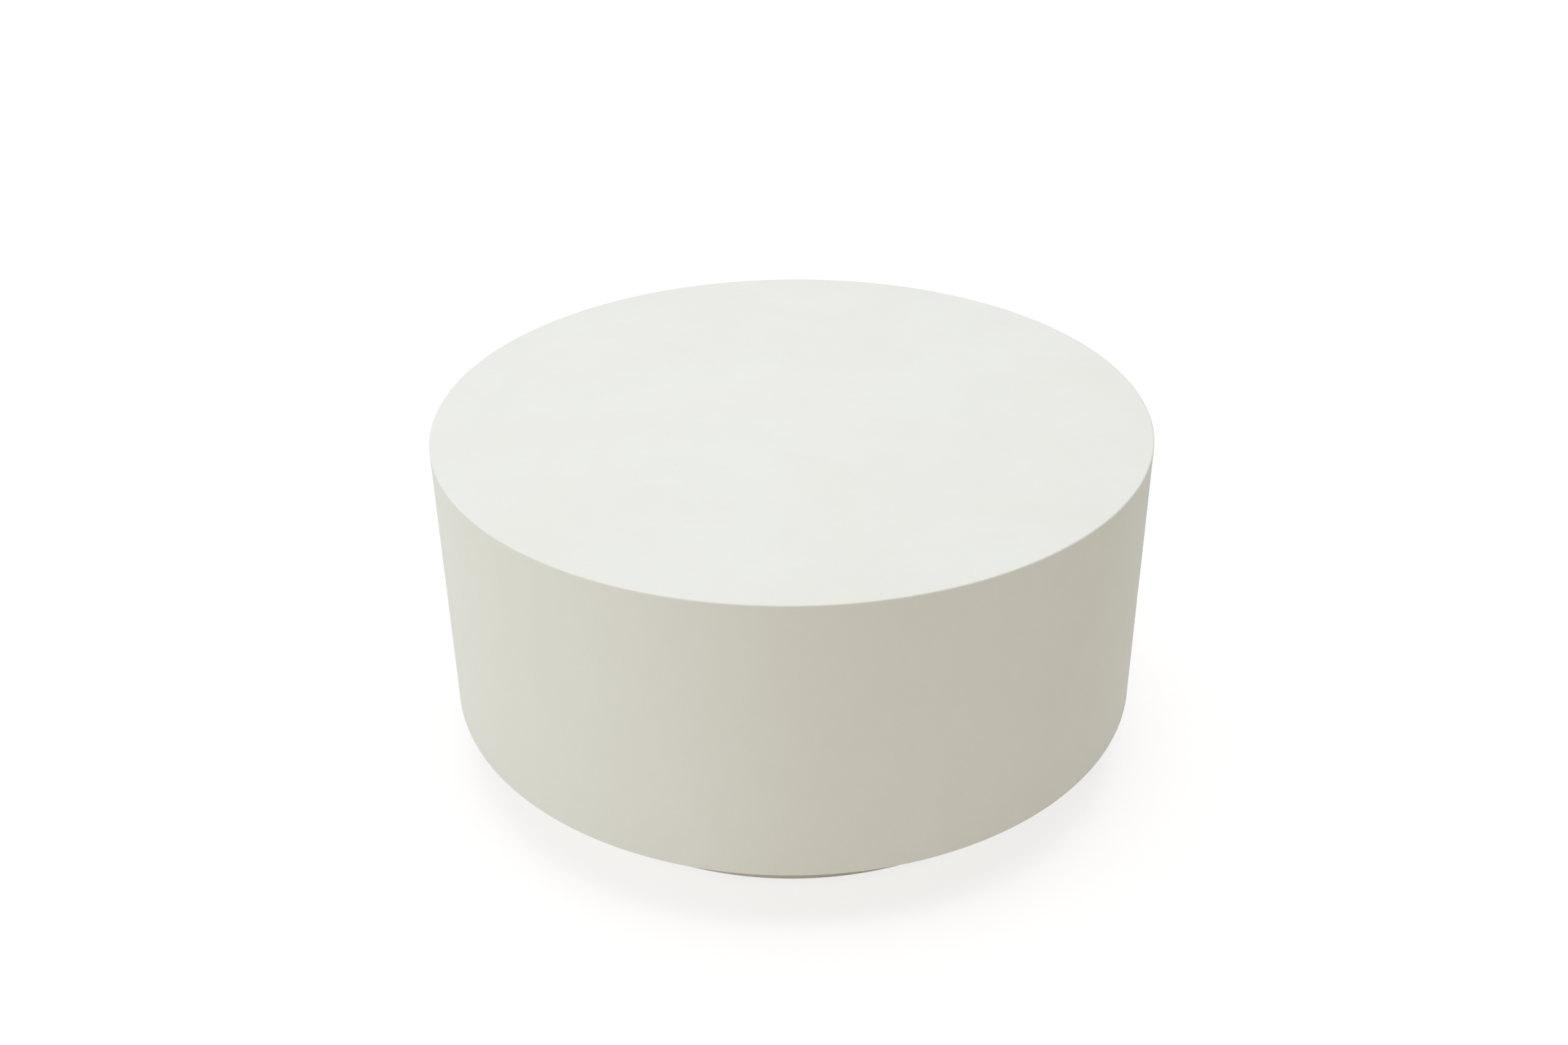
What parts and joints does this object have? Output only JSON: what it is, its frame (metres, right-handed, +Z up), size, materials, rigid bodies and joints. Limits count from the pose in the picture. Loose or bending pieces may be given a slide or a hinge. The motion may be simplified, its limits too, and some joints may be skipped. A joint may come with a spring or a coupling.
{
  "type": "drum coffee table",
  "caption": "Round hollow concrete drum coffee table with a crisp-edged flat top, standing on a recessed concrete plinth with screw-adjusted levelling feet.",
  "frame": {"origin": "on the floor, on the drum's axis, with the feet screwed fully in", "axes": "+Z up along the drum's axis; the picture looks along +Y; one of the drum's bolts lies on +X"},
  "size_m": [0.8, 0.8, 0.4],
  "materials": {
    "drum_concrete": "matte",
    "plinth_concrete": "matte",
    "plywood": "satin",
    "foam_gasket": "matte",
    "rubber_gasket": "matte",
    "bolt_steel": "satin",
    "insert_steel": "satin",
    "foot_steel": "satin",
    "pad_nylon": "satin",
    "sole_rubber": "matte"
  },
  "bodies": {
    "table": {"drum_shell": "drum_concrete", "plinth_ring": "plinth_concrete", "base_disc": "plywood", "base_gasket": "foam_gasket", "plinth_gasket": "rubber_gasket", "drum_bolt_1": "bolt_steel", "drum_bolt_2": "bolt_steel", "drum_bolt_3": "bolt_steel", "drum_bolt_4": "bolt_steel", "drum_bolt_5": "bolt_steel", "drum_bolt_6": "bolt_steel", "drum_insert_1": "insert_steel", "drum_insert_2": "insert_steel", "drum_insert_3": "insert_steel", "drum_insert_4": "insert_steel", "drum_insert_5": "insert_steel", "drum_insert_6": "insert_steel", "plinth_bolt_1": "bolt_steel", "plinth_bolt_2": "bolt_steel", "plinth_bolt_3": "bolt_steel", "plinth_bolt_4": "bolt_steel", "plinth_bolt_5": "bolt_steel", "plinth_bolt_6": "bolt_steel", "plinth_insert_1": "insert_steel", "plinth_insert_2": "insert_steel", "plinth_insert_3": "insert_steel", "plinth_insert_4": "insert_steel", "plinth_insert_5": "insert_steel", "plinth_insert_6": "insert_steel", "foot_insert_1": "insert_steel", "foot_insert_2": "insert_steel", "foot_insert_3": "insert_steel", "foot_insert_4": "insert_steel", "foot_lock_nut_1": "foot_steel", "foot_lock_nut_2": "foot_steel", "foot_lock_nut_3": "foot_steel", "foot_lock_nut_4": "foot_steel"},
    "foot_base_1": {"foot_pad_1": "pad_nylon", "foot_sole_1": "sole_rubber"},
    "foot_base_2": {"foot_pad_2": "pad_nylon", "foot_sole_2": "sole_rubber"},
    "foot_base_3": {"foot_pad_3": "pad_nylon", "foot_sole_3": "sole_rubber"},
    "foot_base_4": {"foot_pad_4": "pad_nylon", "foot_sole_4": "sole_rubber"},
    "foot_screw_1": {"foot_stem_1": "foot_steel"},
    "foot_screw_2": {"foot_stem_2": "foot_steel"},
    "foot_screw_3": {"foot_stem_3": "foot_steel"},
    "foot_screw_4": {"foot_stem_4": "foot_steel"}
  },
  "joints": [
    {"name": "foot_1_travel", "type": "slide", "parent": "table", "child": "foot_base_1", "axis": [0, 0, -1], "range_m": [0, 0.012]},
    {"name": "foot_2_travel", "type": "slide", "parent": "table", "child": "foot_base_2", "axis": [0, 0, -1], "range_m": [0, 0.012]},
    {"name": "foot_3_travel", "type": "slide", "parent": "table", "child": "foot_base_3", "axis": [0, 0, -1], "range_m": [0, 0.012]},
    {"name": "foot_4_travel", "type": "slide", "parent": "table", "child": "foot_base_4", "axis": [0, 0, -1], "range_m": [0, 0.012]},
    {"name": "foot_1_turn", "type": "hinge", "parent": "foot_base_1", "child": "foot_screw_1", "pos_m": [0.18455, 0.18455, 0], "axis": [0, 0, -1], "range_deg": [0, 2880]},
    {"name": "foot_2_turn", "type": "hinge", "parent": "foot_base_2", "child": "foot_screw_2", "pos_m": [-0.18455, 0.18455, 0], "axis": [0, 0, -1], "range_deg": [0, 2880]},
    {"name": "foot_3_turn", "type": "hinge", "parent": "foot_base_3", "child": "foot_screw_3", "pos_m": [-0.18455, -0.18455, 0], "axis": [0, 0, -1], "range_deg": [0, 2880]},
    {"name": "foot_4_turn", "type": "hinge", "parent": "foot_base_4", "child": "foot_screw_4", "pos_m": [0.18455, -0.18455, 0], "axis": [0, 0, -1], "range_deg": [0, 2880]}
  ],
  "couplings": [
    {"joint": "foot_1_turn", "follows": "foot_1_travel", "rad_per_m": 4188.8},
    {"joint": "foot_2_turn", "follows": "foot_2_travel", "rad_per_m": 4188.8},
    {"joint": "foot_3_turn", "follows": "foot_3_travel", "rad_per_m": 4188.8},
    {"joint": "foot_4_turn", "follows": "foot_4_travel", "rad_per_m": 4188.8}
  ]
}
